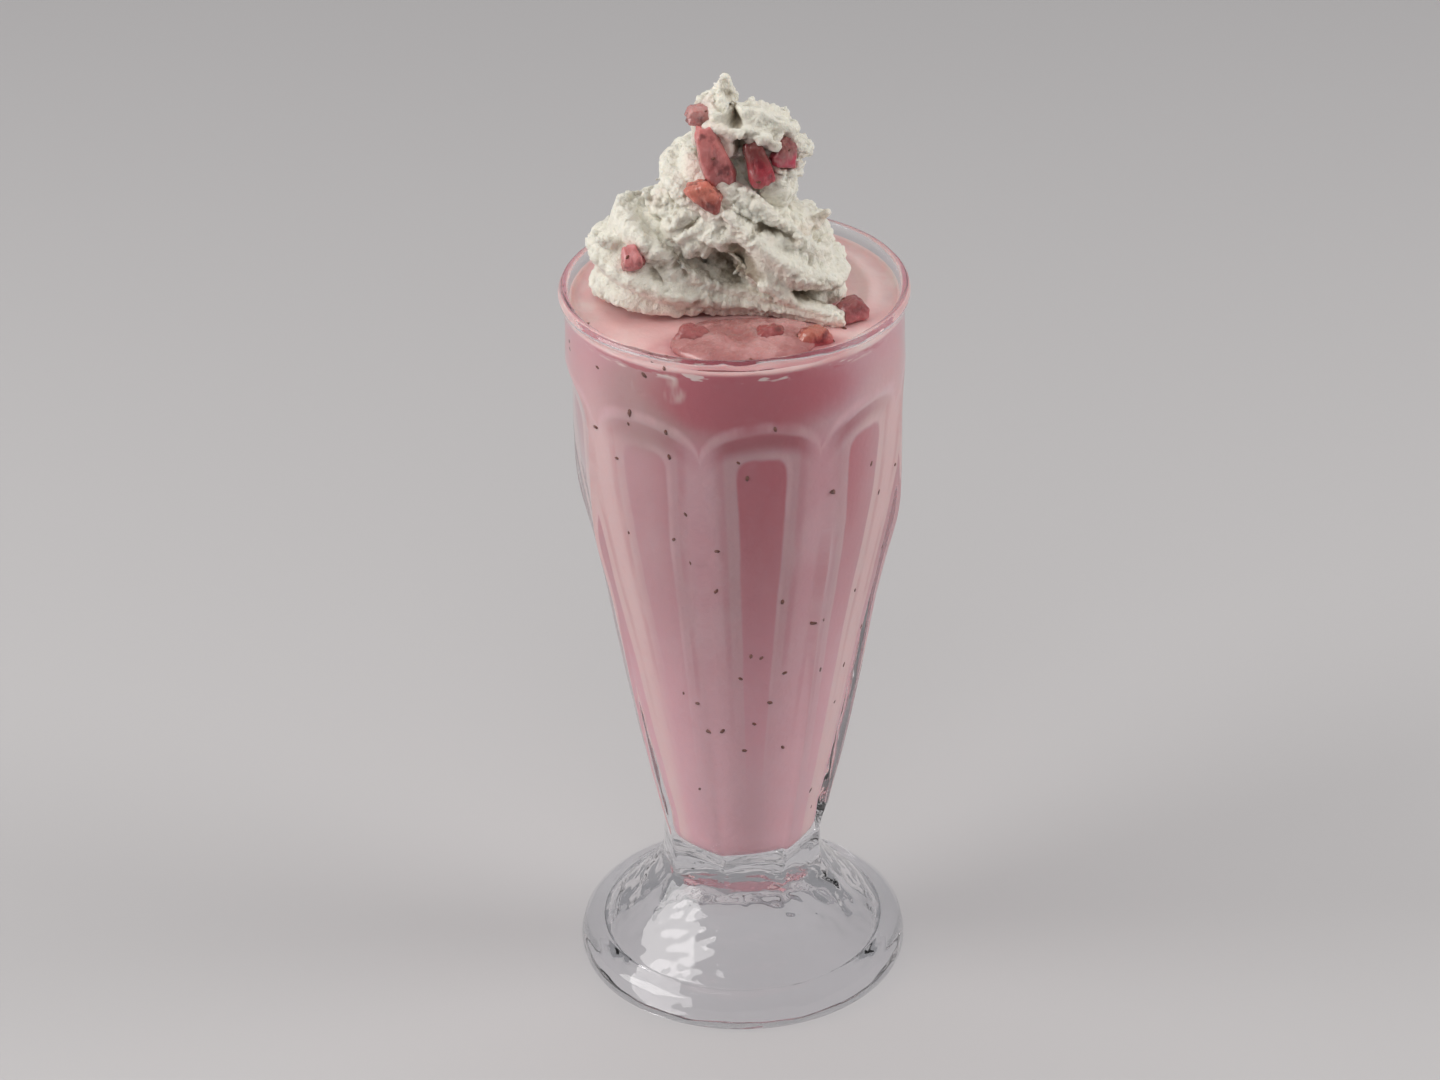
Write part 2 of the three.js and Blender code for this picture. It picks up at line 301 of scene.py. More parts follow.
class DrinkSettings(bpy.types.PropertyGroup):
    level: bpy.props.FloatProperty(
        name="Level", description="Height of the drink's surface", default=0.1835, unit="LENGTH"
    )
    colour: bpy.props.FloatVectorProperty(
        name="Colour", description="Milkshake", default=(0.62, 0.28, 0.32), subtype="COLOR"
    )
    # Pale, made lighter, also colours the pale lines of painted light on the panels
    pale: bpy.props.FloatVectorProperty(
        name="Pale", description="Thin or frothy milkshake", default=(0.67, 0.395, 0.43), subtype="COLOR"
    )
    # Deep also colours the painted shade under the arches and the panels' deep middles
    deep: bpy.props.FloatVectorProperty(
        name="Deep", description="Milkshake full of fruit", default=(0.5, 0.105, 0.14), subtype="COLOR"
    )
    surface: bpy.props.FloatVectorProperty(
        name="Surface", description="Top of the drink", default=(0.8, 0.5, 0.49), subtype="COLOR"
    )
    seeds: bpy.props.IntProperty(
        name="Seeds", description="Seeds that show on the drink", default=95, min=0
    )


class CreamSettings(bpy.types.PropertyGroup):
    grain: bpy.props.FloatProperty(
        name="Grain", description="Size of the cream's fine facets", default=0.00044, unit="LENGTH"
    )
    tearing: bpy.props.FloatProperty(
        name="Tearing", description="Depth of the torn, crumbly places", default=0.0013, unit="LENGTH"
    )
    seed: bpy.props.IntProperty(name="Seed", description="Which way the cream tears", default=2, min=1)
    colour: bpy.props.FloatVectorProperty(
        name="Colour", description="Whipped cream", default=(0.9, 0.87, 0.77), subtype="COLOR"
    )


class FruitSettings(bpy.types.PropertyGroup):
    puree: bpy.props.FloatVectorProperty(
        name="Puree", description="Strawberry puree", default=(0.4, 0.16, 0.155), subtype="COLOR"
    )
    seed: bpy.props.FloatVectorProperty(
        name="Seed", description="Strawberry seed", default=(0.09, 0.03, 0.02), subtype="COLOR"
    )


class StageSettings(bpy.types.PropertyGroup):
    lens: bpy.props.FloatProperty(
        name="Lens", description="The camera's focal length", default=110, unit="CAMERA"
    )
    distance: bpy.props.FloatProperty(
        name="Distance", description="From the camera to the glass", default=1.068, unit="LENGTH"
    )
    pitch: bpy.props.FloatProperty(
        name="Pitch",
        description="How far the camera looks down",
        default=math.radians(29.85),
        subtype="ANGLE",
    )
    roll: bpy.props.FloatProperty(
        name="Roll",
        description="How far the camera leans to one side",
        default=math.radians(-0.9),
        subtype="ANGLE",
    )
    floor: bpy.props.FloatVectorProperty(
        name="Floor", description="The plain floor", default=(0.55, 0.54, 0.545), subtype="COLOR"
    )


SETTINGS = {
    "milkshake_glass": GlassSettings,
    "milkshake_drink": DrinkSettings,
    "milkshake_cream": CreamSettings,
    "milkshake_fruit": FruitSettings,
    "milkshake_stage": StageSettings,
}


# Materials


class Shade:
    """A socket in a material's node tree. Arithmetic on it adds Math nodes."""

    def __init__(self, tree, socket=None):
        self.tree = tree
        self.socket = socket

    def node(self, kind, settings, inputs, output=0):
        """Adds a node: its settings first, then the values or links of its sockets."""
        made = self.tree.nodes.new(kind)
        for name, value in settings.items():
            setattr(made, name, value)
        for name, value in inputs.items():
            if isinstance(value, Shade):
                self.tree.links.new(value.socket, made.inputs[name])
            else:
                made.inputs[name].default_value = value
        return Shade(self.tree, made.outputs[output])

    def maths(self, operation, *values):
        return self.node("ShaderNodeMath", {"operation": operation}, dict(enumerate(values)))

    def of(self, operation, *others):
        return self.maths(operation, self, *others)

    def __add__(self, other):
        return self.maths("ADD", self, other)

    __radd__ = __add__

    def __sub__(self, other):
        return self.maths("SUBTRACT", self, other)

    def __rsub__(self, other):
        return self.maths("SUBTRACT", other, self)

    def __mul__(self, other):
        return self.maths("MULTIPLY", self, other)

    __rmul__ = __mul__

    def __truediv__(self, other):
        return self.maths("DIVIDE", self, other)

    def step(self, low, high):
        """0 below low, 1 above high, smooth between."""
        inputs = {"Value": self, "From Min": low, "From Max": high}
        return self.node("ShaderNodeMapRange", {"interpolation_type": "SMOOTHSTEP"}, inputs)

    def mix(self, low, high):
        """The colour low where this is 0, high where it is 1."""
        low, high = [c if isinstance(c, Shade) else (*c, 1) for c in (low, high)]
        return self.node("ShaderNodeMix", {"data_type": "RGBA"}, {0: self, 6: low, 7: high}, 2)

    def places(self):
        """Places on the piece itself, in metres."""
        return self.node("ShaderNodeTexCoord", {}, {}, "Object")

    def grain(self, size, detail=2.0, stretch=(1, 1, 1), roughness=0.5):
        """Noise from 0 to 1 whose lumps are about size metres across."""
        at = self.node("ShaderNodeMapping", {}, {"Vector": self.places(), "Scale": stretch})
        inputs = {"Vector": at, "Scale": 1 / size, "Detail": detail, "Roughness": roughness}
        return self.node("ShaderNodeTexNoise", {}, inputs)

    def axes(self):
        """The three coordinates of a place on the piece, in metres."""
        split = self.node("ShaderNodeSeparateXYZ", {}, {"Vector": self.places()}).socket.node
        return [Shade(self.tree, split.outputs[name]) for name in "XYZ"]

    def bump(self, height, distance, strength=1.0):
        inputs = {"Height": height, "Distance": distance, "Strength": strength}
        return self.node("ShaderNodeBump", {}, inputs)


def material(name, finish, **values):
    """A material whose Principled shader has these plain values; finish(shade) returns what varies."""
    made = bpy.data.materials.new(name)
    made.use_nodes = True
    tree = made.node_tree
    shader = tree.nodes["Principled BSDF"]
    for socket, value in values.items():
        shader.inputs[socket.replace("_", " ")].default_value = value
    for socket, value in finish(Shade(tree)).items():
        tree.links.new(value.socket, shader.inputs[socket])
    return made


def clear_glass(tint):
    """Polished pressed glass that lets the lamps through to the drink."""

    def finish(shade):
        slow = shade.grain(0.012, 1.5)
        return {"Normal": shade.bump(slow, 0.0004, 0.5)}

    plain = {"Base_Color": (*tint, 1), "Roughness": 0.015, "Transmission_Weight": 1.0, "IOR": 1.5}
    made = material("clear_glass", finish, **plain)
    shade = Shade(made.node_tree)
    shader = Shade(made.node_tree, made.node_tree.nodes["Principled BSDF"].outputs[0])
    shadow = shade.node("ShaderNodeLightPath", {}, {}, "Is Shadow Ray")
    paths = shadow.socket.node.outputs
    lamps = shadow.of("MAXIMUM", Shade(made.node_tree, paths["Is Diffuse Ray"]))
    open_glass = shade.node("ShaderNodeBsdfTransparent", {}, {"Color": (0.93, 0.94, 0.95, 1)})
    mixed = shade.node("ShaderNodeMixShader", {}, {0: lamps, 1: shader, 2: open_glass})
    made.node_tree.links.new(mixed.socket, made.node_tree.nodes["Material Output"].inputs["Surface"])
    return made


class DrinkPlaces:
    """Places on the drink in mm, and where they lie behind the panels of the glass."""

    def __init__(self, shade, size):
        peak, rise = size.arch_peak / MM, size.arch_rise / MM
        self.x, self.y, self.z = [at / MM for at in shade.axes()]
        self.front = (0 - self.y).step(14, 32)
        self.cloud = shade.grain(0.022, 3.0)
        self.smear = shade.grain(0.006, 3.0, stretch=(1, 1, 0.3))
        # share runs from 0 to 1 over a panel, and across from 0 in its middle to 1 on a ridge
        turn = self.x.of("ARCTAN2", 0 - self.y)
        self.share = ((turn - size.panel_turn) / (2 * math.pi / size.panels) + 0.5).of("FRACT")
        self.across = (self.share * 2 - 1).of("ABSOLUTE")
        # How far below the arch's line
        dome = (1 - self.across * self.across).of("SQRT")
        self.below = peak - rise + dome * rise - self.z + (self.smear - 0.5) * 1.2
        # 1 at the edge of the panel's deep middle, which has a rounded top
        half = self.z * 0.0013 + 0.25
        ends = (self.z - 150).of("MAXIMUM", 0) / 9.5
        self.middle = (self.across / half).of("POWER", 4) + ends.of("POWER", 4) + (self.smear - 0.5) * 0.6
        # The deep middles and the painted shade under the arches are strongest on the panels that face the
        # front, most of all the middle one; the side panels are left lighter, as painted light
        self.facing = (turn - size.panel_turn - 0.12).of("COSINE").step(0.6, 0.97) * 0.88 + 0.12

    def spot(self, x, z, half_width, half_height):
        """0 in the middle of an oval spot on the front of the drink, 1 at its edge."""
        return ((self.x - x) / half_width).of("POWER", 2) + ((self.z - z) / half_height).of("POWER", 2)


def milkshake_body(at, drink):
    """The drink itself: lighter below, full of fruit near the rim, with a painted reflection behind the
    panels and painted light at the sides.
    """
    x, z, across = at.x, at.z, at.across
    base = (at.cloud.step(0.3, 0.7) * 0.6).mix(drink.pale, drink.colour)
    # Painted reflection: a grey veil over the panels below their arches
    grey = across.step(0.95, 0.6) * at.below.step(1, 5) * z.step(80, 130)
    base = (grey * 0.5).mix(base, GREY_PINK)
    base = (z.step(115, 60) * 0.5).mix(base, LIGHT_PINK)
    above_arches = at.below.step(0.5, -0.5)
    base = (above_arches * 0.75).mix(base, drink.colour)
    broad = ((x - 2) / 21).of("POWER", 2) + ((z - 175) / 13).of("POWER", 4)
    base = (broad.step(1.4, 0.3) * at.front * 0.4).mix(base, FRUIT_RED)
    base = (at.spot(-22, 171, 13, 14).step(1.3, 0.2) * at.front * 0.6).mix(base, FRUIT_BROWN)
    base = (at.spot(25, 171, 10, 14).step(1.3, 0.2) * 0.5).mix(base, DULL_PINK)
    # Painted light: a pale peach-cream at the left and right sides of the drink, away from the panels'
    # middles
    sides = (x / (z * 0.19 + 8)).of("ABSOLUTE").step(0.62, 0.82) * z.step(190, 150)
    base = (sides * at.middle.step(0.8, 1.3) * 0.6).mix(base, PAINTED_SIDE_LIGHT)
    clear = at.middle.step(1.1, 0.6) * z.step(50, 80) * z.step(150, 105)
    return (clear * at.facing * 0.4).mix(base, CLEAR_PINK)


def panel_marks(at, drink, base):
    """Deep middles, painted shade under the arches, puree run down the front, a painted highlight and pale
    lines of painted light.
    """
    z, below, across, middle, smear = at.z, at.below, at.across, at.middle, at.smear
    # Painted shade under the arches, in a darker deep colour
    shaded = below.step(1.2, 2.8) * below.step(9, 4.5) * middle.step(0.9, 1.4) * across.step(1, 0.5)
    base = (shaded * (at.facing * 0.75 + 0.1)).mix(base, [c * 0.8 for c in drink.deep])
    flank = across.step(0.6, 0.68) * across.step(0.84, 0.72) * z.step(60, 110) * below.step(2, 6)
    base = (flank * 0.25 * smear.step(0.3, 0.6)).mix(base, drink.deep)
    inside = middle.step(1.1, 0.6) * z.step(66, 165)
    base = (inside * at.facing * (0.6 + 0.5 * smear)).mix(base, drink.deep)
    run = (at.spot(4, 176, 24, 10) + (at.cloud - 0.5) * 1.2).step(1.5, 0.4) * at.front
    base = (run * 0.85).mix(base, drink.deep)
    # Painted highlight: a pale smear under the lip, left of the middle
    smeared = at.spot(-17, 179, 9, 5).step(1.3, 0.3) * at.front * smear.step(0.5, 0.66)
    base = (smeared * 0.75).mix(base, SMEARED_HIGHLIGHT)
    # Painted light: a pale line round the middle of each panel, stronger on one side, and one along the
    # arches
    line_side = at.share.step(0.45, 0.6) * 0.7 + 0.2
    outline = middle.step(0.7, 1.2) * middle.step(2.6, 1.2) * z.step(48, 70) * line_side
    arch = below.step(-1.8, 0.2) * below.step(2.6, 0.4)
    faint = smear.step(0.3, 0.7)
    lines = (outline * (0.2 + faint) * 0.3).of("MAXIMUM", arch * (0.1 + 0.5 * faint))
    return lines.mix(base, [min(1, c * 1.06 + 0.07) for c in drink.pale])


def under_the_lip(shade, at, drink, base):
    """Streaks of froth with painted highlight, and of fruit, just under the lip."""
    streak = shade.grain(0.005, 2.0, stretch=(1, 1, 3))
    lip = at.z.step(180.2, 181.6) * at.front
    # Pale streaks: froth, and a painted highlight seen through the rim
    base = (lip * streak.step(0.56, 0.64) * 0.8).mix(base, LIP_FROTH_AND_HIGHLIGHT)
    return (lip * streak.step(0.47, 0.4) * 0.7).mix(base, drink.deep)


def drink_top(at, drink):
    """The open surface, with froth by the wall and fruit round the puree."""
    x, y, smear = at.x, at.y, at.smear
    froth = (at.cloud + smear * 0.4).step(0.6, 0.85) * (x * x + y * y).step(700, 1300)
    froth = froth.of("MAXIMUM", x.step(22, 30) * y.step(-14, 0) * (0.35 + 0.65 * smear))
    base = (froth * 0.75).mix(drink.surface, TOP_FROTH)
    side, depth = (x - 4) / 24, (y + 27) / 9
    stain = side * side * 1.4 + depth * depth + (at.cloud - 0.5) * 1.5
    return (stain.step(1.6, 0.6) * 0.6).mix(base, drink.deep)


def drink_finish(drink, size):
    """Milkshake as it shows through the panels, with painted light, shade and reflection of the glass, and
    its open surface.
    """

    def finish(shade):
        at = DrinkPlaces(shade, size)
        side = panel_marks(at, drink, milkshake_body(at, drink))
        side = under_the_lip(shade, at, drink, side)
        top = (at.z - drink.level / MM).step(-1.2, 0.2)
        base = (top * 0.95).mix(side, drink_top(at, drink))
        fine = shade.grain(0.0022, 2.0)
        return {
            "Base Color": (fine.step(0.55, 0.8) * 0.1).mix(base, drink.colour),
            "Normal": shade.bump(fine, 0.0003, 0.5),
        }

    return finish


def cream_finish(colour):
    """Off-white, with painted shade in its hollows, and a faint blush where fruit has bled into it."""

    def finish(shade):
        cloud = shade.grain(0.006, 3.0)
        fine = shade.grain(0.0011, 3.0, roughness=0.65)
        hollow = shade.node("ShaderNodeAttribute", {"attribute_name": "hollow"}, {}, "Fac")
        stained = shade.node("ShaderNodeAttribute", {"attribute_name": "stained"}, {}, "Fac")
        blush = shade.grain(0.011, 2.0).step(0.56, 0.78) * 0.2 + stained * (cloud + 0.3)
        base = cloud.step(0.3, 0.7).mix([c * 0.92 for c in colour], colour)
        base = blush.mix(base, BLUSH)
        return {
            "Base Color": (hollow + (fine - 0.5) * 0.6).step(-0.2, 0.85).mix(base, HOLLOW_SHADE),
            "Roughness": 0.45 + fine * 0.25,
            "Normal": shade.bump(fine, 0.0009, 0.9),
        }

    return finish


def fruit_finish(top, bottom, height, reach):
    """Wet flesh from one colour at the top to another at the bottom, with pale fibres and dark juice."""

    def finish(shade):
        cloud = shade.grain(0.0032, 3.0)
        fibre = shade.grain(0.0011, 2.0, stretch=(1, 1, 0.35))
        rise = (shade.axes()[2] / MM - height) / reach + (cloud - 0.5) * 1.6
        base = rise.step(-0.6, 0.6).mix(bottom, top)
        base = (cloud.step(0.46, 0.3) * 0.75).mix(base, [c * 0.35 for c in bottom])
        pale = [min(1, c * 1.1 + 0.12) for c in top]
        base = (cloud.step(0.55, 0.75) * 0.7).mix(base, pale)
        return {
            "Base Color": (fibre.step(0.52, 0.8) * 0.45).mix(base, pale),
            "Roughness": 0.16 + cloud * 0.25,
            "Normal": shade.bump(fibre, 0.0005, 0.8),
        }

    return finish


def puree_finish(colour):
    def finish(shade):
        cloud = shade.grain(0.007, 4.0)
        fine = shade.grain(0.0016, 3.0)
        pale = [min(1, c * 1.15 + 0.1) for c in colour]
        base = cloud.step(0.4, 0.65).mix(colour, pale)
        return {
            "Base Color": (fine.step(0.6, 0.8) * 0.5).mix(base, [c * 0.5 for c in colour]),
            "Roughness": 0.16 + fine * 0.2,
            "Normal": shade.bump(fine, 0.0004, 0.6),
        }

    return finish


def seed_finish(colour):
    def finish(shade):
        fine = shade.grain(0.0006, 2.0)
        return {"Base Color": fine.mix(colour, [min(1, c * 3) for c in colour])}

    return finish


def floor_finish(colour):
    def finish(shade):
        return {"Base Color": shade.grain(0.4, 2.0).mix(colour, [c * 0.97 for c in colour])}

    return finish


# Shapes


def smooth_step(value, low, high):
    t = min(max((value - low) / (high - low), 0), 1)
    return t * t * (3 - 2 * t)


def around(turn, radius, height):
    """The point at a turn in radians, a distance from the axis and a height."""
    return Vector((radius * math.sin(turn), -radius * math.cos(turn), height))


def curve_through(points, pieces):
    """Points on a smooth curve through these, with so many pieces to each span."""
    rows = [Vector(p) for p in (points[0], *points, points[-1])]
    out = []
    for a, b, c, d in zip(rows, rows[1:], rows[2:], rows[3:]):
        for i in range(pieces):
            t = i / pieces
            straight = 2 * b + (c - a) * t
            bend = (2 * a - 5 * b + 4 * c - d) * t**2
            turn = (3 * b - a - 3 * c + d) * t**3
            out.append(0.5 * (straight + bend + turn))
    return [*out, rows[-1]]


def spun(profile, steps, start):
    """A closed shell: a half profile of (radius, height) in mm, spun round the axis from a turn."""
    shell = bmesh.new()
    chain = [shell.verts.new(around(start, max(r, 0) * MM, z * MM)) for r, z in profile]
    edges = [shell.edges.new(pair) for pair in zip(chain, chain[1:])]
    bmesh.ops.spin(
        shell,
        geom=chain + edges,
        axis=(0, 0, 1),
        cent=(0, 0, 0),
        angle=2 * math.pi,
        steps=steps,
        use_merge=True,
        use_duplicate=False,
    )
    bmesh.ops.remove_doubles(shell, verts=shell.verts, dist=1e-6)
    bmesh.ops.recalc_face_normals(shell, faces=shell.faces)
    return shell


def finished(shell, name, node, look):
    """Makes the shell an object that rides with the glass and stands for a node of the frame."""
    mesh = bpy.data.meshes.new(name)
    bmesh.ops.remove_doubles(shell, verts=shell.verts, dist=1e-7)
    shell.to_mesh(mesh)
    shell.free()
    mesh.shade_smooth()
    mesh.materials.append(look)
    piece = bpy.data.objects.new(name, mesh)
    bpy.context.scene.collection.objects.link(piece)
    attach(piece, BODY)
    if node:
        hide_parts(node)
    return piece


def remeshed(shell, voxel):
    """The shell's outside as one even skin."""
    mesh = bpy.data.meshes.new("rough")
    shell.to_mesh(mesh)
    rough = bpy.data.objects.new("rough", mesh)
    bpy.context.scene.collection.objects.link(rough)
    skin = rough.modifiers.new("skin", "REMESH")
    skin.mode = "VOXEL"
    skin.voxel_size = voxel
    graph = bpy.context.evaluated_depsgraph_get()
    even = bpy.data.meshes.new_from_object(rough.evaluated_get(graph))
    shell.clear()
    shell.from_mesh(even)
    bpy.data.objects.remove(rough)
    bpy.data.meshes.remove(mesh)
    bpy.data.meshes.remove(even)
    return shell


class MILKSHAKE_OT_glass(bpy.types.Operator):
    """Spins the footed glass and hollows its arched panels"""

    bl_idname = "milkshake.glass"
    bl_label = "Soda glass"

    def execute(self, context):
        size = context.scene.milkshake_glass
        outside = curve_through(FOOT + BOWL + RIM, 6)
        outside = [(r, max(z, 0)) for r, z in outside]
        inside = [tuple(p) for p in curve_through(INSIDE, 4)]
        shell = spun(outside + inside, size.panels * 20, size.panel_turn)
        for vertex in shell.verts:
            self.hollow(vertex, size)
        shell.normal_update()
        for vertex in shell.verts:
            at = vertex.co / MM
            sway = self.sway(at, vertex.normal) * smooth_step(at.z, 0.1, 1.5)
            vertex.co += vertex.normal * sway * size.waviness
        shell.normal_update()
        look = clear_glass(size.tint)
        finished(shell, "soda_glass", "glass", look)
        return {"FINISHED"}

    def sway(self, at, normal):
        """How far the glass strays at a place: slowly all over, and in ripples on its foot and lip."""
        low = 1 - smooth_step(at.z, FOOT_TOP, 38)
        lip = smooth_step(at.z, PANELS_END - 0.5, 185)
        under = smooth_step(-normal.z, 0.2, 0.6) * (1 - 0.75 * smooth_step(at.z, 12, 19))
        slow = noise.noise(at * 0.1) + 0.35 * noise.noise(at * 0.28)
        wave = Vector((at.x * 0.5, at.y * 1.3, at.z * 1.3))
        ripple = noise.noise(wave * 0.3) + 0.6 * noise.noise(wave * 0.62)
        ripple *= 1.3 - smooth_step(abs(at.x), 6, 26)
        return slow * (0.4 + 0.5 * low) + ripple * (1.8 * under + 0.6 * low + 0.7 * lip)

    def hollow(self, vertex, size):
        """Moves a point of the outside in to its panel's face, and rows near the arches with them."""
        x, y, z = vertex.co / MM
        radius = math.hypot(x, y)
        if radius < 1 or not FLANGE_TOP <= z <= PANELS_END or radius < self.wall_middle(z):
            return
        turn = math.atan2(x, -y)
        pitch = 2 * math.pi / size.panels
        offset = (turn - size.panel_turn) / pitch
        across = abs(2 * (offset - round(offset)))
        hollow = 1 - across * across
        on_foot = DEPTH_ON_FOOT / radius
        if z < FOOT_TOP:
            depth = on_foot * smooth_step(z, FLANGE_TOP - 0.2, 16)
            vertex.co = around(turn, radius * (1 - depth * hollow) * MM, z * MM)
            return
        peak, rise = size.arch_peak / MM, size.arch_rise / MM
        drop = rise * (math.sqrt(max(0, 1 - across * across)) - 1)
        height = z + drop * smooth_step(z, 110, 150) * (1 - smooth_step(z, 171, 181))
        scoop = min(max((peak + drop - height) / BEVEL, 0), 1)
        scoop = 1 - (1 - scoop) ** 2.2
        grown = on_foot + (PANEL_DEPTH - on_foot) * smooth_step(z, FOOT_TOP, 50)
        depth = grown + (ARCH_DEPTH - grown) * smooth_step(z, 115, 160)
        vertex.co = around(turn, radius * (1 - depth * hollow * scoop) * MM, height * MM)

    def wall_middle(self, height):
        """A radius between the inside and the outside of the wall at a height, in mm."""
        if height < 33:
            return 37.5 - 0.9 * height
        for (r, z), (below_r, below_z) in zip(INSIDE, INSIDE[1:]):
            if height >= below_z:
                share = (height - below_z) / max(z - below_z, 1e-6)
                return below_r + (r - below_r) * min(share, 1) + 0.7
        return 10


class MILKSHAKE_OT_drink(bpy.types.Operator):
    """Fills the glass with milkshake, just into its wall, with an uneven top"""

    bl_idname = "milkshake.drink"
    bl_label = "Milkshake"

    def execute(self, context):
        drink = context.scene.milkshake_drink
        level = drink.level / MM
        wall = [(r + INTO_WALL if r else 0, z - INTO_WALL) for r, z in curve_through(INSIDE, 4)]
        wall = [p for p in wall if p[1] < level]
        top = [(r, level + rise) for r, rise in CREEP]
        top += [(r, level) for r in range(36, -1, -1)]
        shell = spun(wall[::-1] + top, 144, 0)
        for vertex in shell.verts:
            at = vertex.co / MM
            if at.z > level - 0.01 and math.hypot(at.x, at.y) < 38:
                vertex.co.z += self.relief(at) * MM
        shell.normal_update()
        look = material(
            "strawberry_milkshake",
            drink_finish(drink, context.scene.milkshake_glass),
            Roughness=0.38,
            Subsurface_Weight=0.35,
            Subsurface_Radius=(0.003, 0.0014, 0.0012),
            Subsurface_Scale=1.0,
        )
        finished(shell, "milkshake_drink", "milkshake", look)
        return {"FINISHED"}

    def relief(self, at):
        """Soft lumps, and a fold of thick drink beside the cream on the right, in mm."""
        lumps = 0.35 * noise.noise(at * 0.16) + 0.15 * noise.noise(at * 0.5)
        turn = math.degrees(math.atan2(at.x, -at.y))
        radius = math.hypot(at.x, at.y)
        fold = math.exp(-(((radius - 32 - (turn - 90) * 0.03) / 1.8) ** 2))
        return lumps + 1.1 * fold * smooth_step(turn, 62, 78) * (1 - smooth_step(turn, 118, 140))


